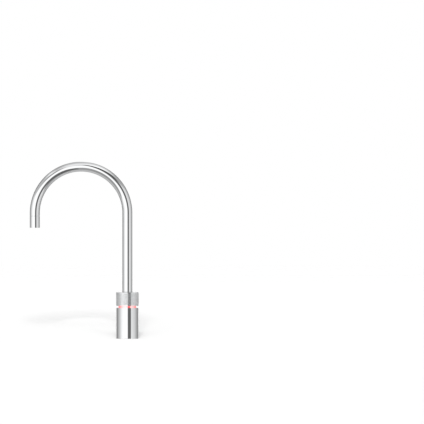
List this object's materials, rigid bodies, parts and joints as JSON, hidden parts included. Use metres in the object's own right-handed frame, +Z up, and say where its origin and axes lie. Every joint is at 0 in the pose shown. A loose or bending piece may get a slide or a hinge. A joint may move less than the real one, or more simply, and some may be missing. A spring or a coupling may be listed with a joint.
{
  "type": "boiling water tap",
  "caption": "Slim single tap for boiling water: round casing, swivelling gooseneck spout, lit ring and a knurled push-and-turn knob, with its shank and clamp for a worktop.",
  "frame": {"origin": "on the tap's axis at the worktop's surface, in the middle of the casing's base", "axes": "+Z up along the tap's axis; the spout reaches along -X; +Y is square to the spout's plane"},
  "size_m": [0.1603, 0.038, 0.3503],
  "materials": {
    "polished_chrome": "mirror polished",
    "knurled_chrome": "fine diamond knurl",
    "lit_plastic": "bright metallised skin, lit red from below",
    "led": "clear dome",
    "brass": "turned",
    "steel": "drawn",
    "rubber": "matt",
    "silicone": "satin",
    "foam": "closed-cell foam",
    "black_plastic": "moulded",
    "white_plastic": "moulded",
    "circuit_board": "solder mask"
  },
  "bodies": {
    "root": {"casing": "polished_chrome", "base_gasket": "rubber", "base_ring": "brass", "valve_housing": "brass", "valve_plug": "brass", "valve_spring": "steel", "gland_o_ring": "rubber", "gland_bush": "black_plastic", "riser_tube": "brass", "riser_o_ring_lower": "rubber", "riser_o_ring_upper": "rubber", "lower_bush": "white_plastic", "upper_bush": "white_plastic", "thrust_washer": "white_plastic", "bearing_deck": "black_plastic", "light_board": "circuit_board", "led_1": "led", "led_2": "led", "led_3": "led", "led_4": "led", "board_connector": "white_plastic", "light_ring": "lit_plastic", "spring_washer": "steel", "threaded_shank": "brass", "clamp_gasket": "rubber", "clamp_washer": "steel", "fixing_nut": "brass", "shank_bush": "rubber", "inlet_pipe": "steel", "inlet_nipple": "brass"},
    "valve": {"valve_pin": "steel", "valve_seal": "rubber"},
    "cam": {"cam_sleeve": "white_plastic", "knob_clip": "steel", "return_spring": "steel"},
    "knob": {"knurled_ring": "knurled_chrome", "knob_carrier": "white_plastic", "knob_guide_ring": "black_plastic"},
    "spout": {"spout_tube": "polished_chrome", "spout_collar": "brass", "hose_ferrule": "brass", "inner_hose": "silicone", "insulating_sleeve": "foam", "nozzle": "polished_chrome", "nozzle_o_ring": "rubber", "nozzle_bush": "white_plastic", "flow_straightener": "black_plastic"}
  },
  "joints": [
    {"name": "spout_swivel", "type": "hinge", "parent": "root", "child": "spout", "pos_m": [0, 0, 0.0313], "axis": [0, 0, 1], "continuous": true},
    {"name": "handle_turn", "type": "hinge", "parent": "root", "child": "cam", "pos_m": [0, 0, 0.0362], "axis": [0, 0, 1], "range_deg": [0, 90]},
    {"name": "handle_push", "type": "slide", "parent": "cam", "child": "knob", "axis": [0, 0, -1], "range_m": [0, 0.0025], "stiffness_N_per_m": 1500, "springref_m": -0.003, "deforming": ["return_spring"]},
    {"name": "valve_lift", "type": "slide", "parent": "root", "child": "valve", "axis": [0, 0, -1], "range_m": [0, 0.0015], "deforming": ["valve_spring"]}
  ],
  "couplings": [
    {"joint": "valve_lift", "follows": "handle_turn", "m_per_rad": 0.000954}
  ]
}
